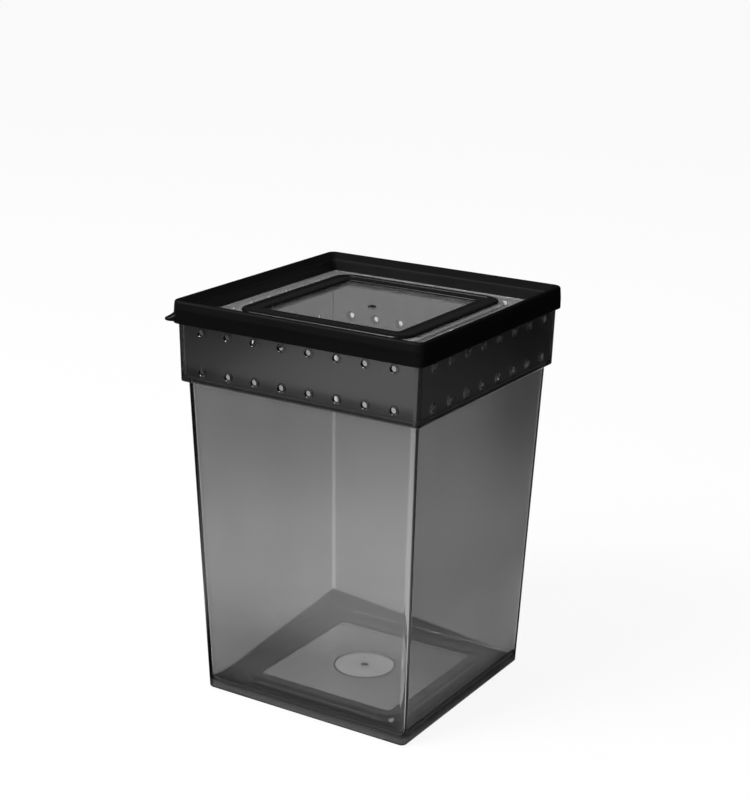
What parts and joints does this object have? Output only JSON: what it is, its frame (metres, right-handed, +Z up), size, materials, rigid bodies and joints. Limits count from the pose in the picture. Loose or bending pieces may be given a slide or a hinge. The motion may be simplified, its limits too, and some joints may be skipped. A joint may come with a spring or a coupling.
{
  "type": "reptile breeding box",
  "caption": "Tall tapered see-through square tub with a wider vented collar, a near-black framed recessed lid and a square feeding hatch that lifts out of its middle.",
  "frame": {"origin": "middle of the surface that the tub stands on, on the box's vertical axis", "axes": "+Z up through the lid, X and Y square to the sides, with the lid's finger lip at the corner between -X and -Y"},
  "size_m": [0.1022, 0.1022, 0.1463],
  "materials": {
    "smoky_plastic": "smoky see-through, moulded smooth",
    "black_lid_plastic": "near-black, soft gloss",
    "clear_panel_plastic": "lightly smoked, clear",
    "black_hatch_plastic": "near-black, soft gloss",
    "clear_window_plastic": "lightly smoked, clear"
  },
  "bodies": {
    "tub": {"tub": "smoky_plastic"},
    "lid": {"lid_frame": "black_lid_plastic", "lid_panel": "clear_panel_plastic"},
    "hatch": {"hatch_frame": "black_hatch_plastic", "hatch_window": "clear_window_plastic"}
  },
  "joints": [
    {"name": "lid_lift", "type": "slide", "parent": "tub", "child": "lid", "axis": [0, 0, 1], "range_m": [0, 0.06]},
    {"name": "hatch_lift", "type": "slide", "parent": "lid", "child": "hatch", "axis": [0, 0, 1], "range_m": [0, 0.04]}
  ]
}
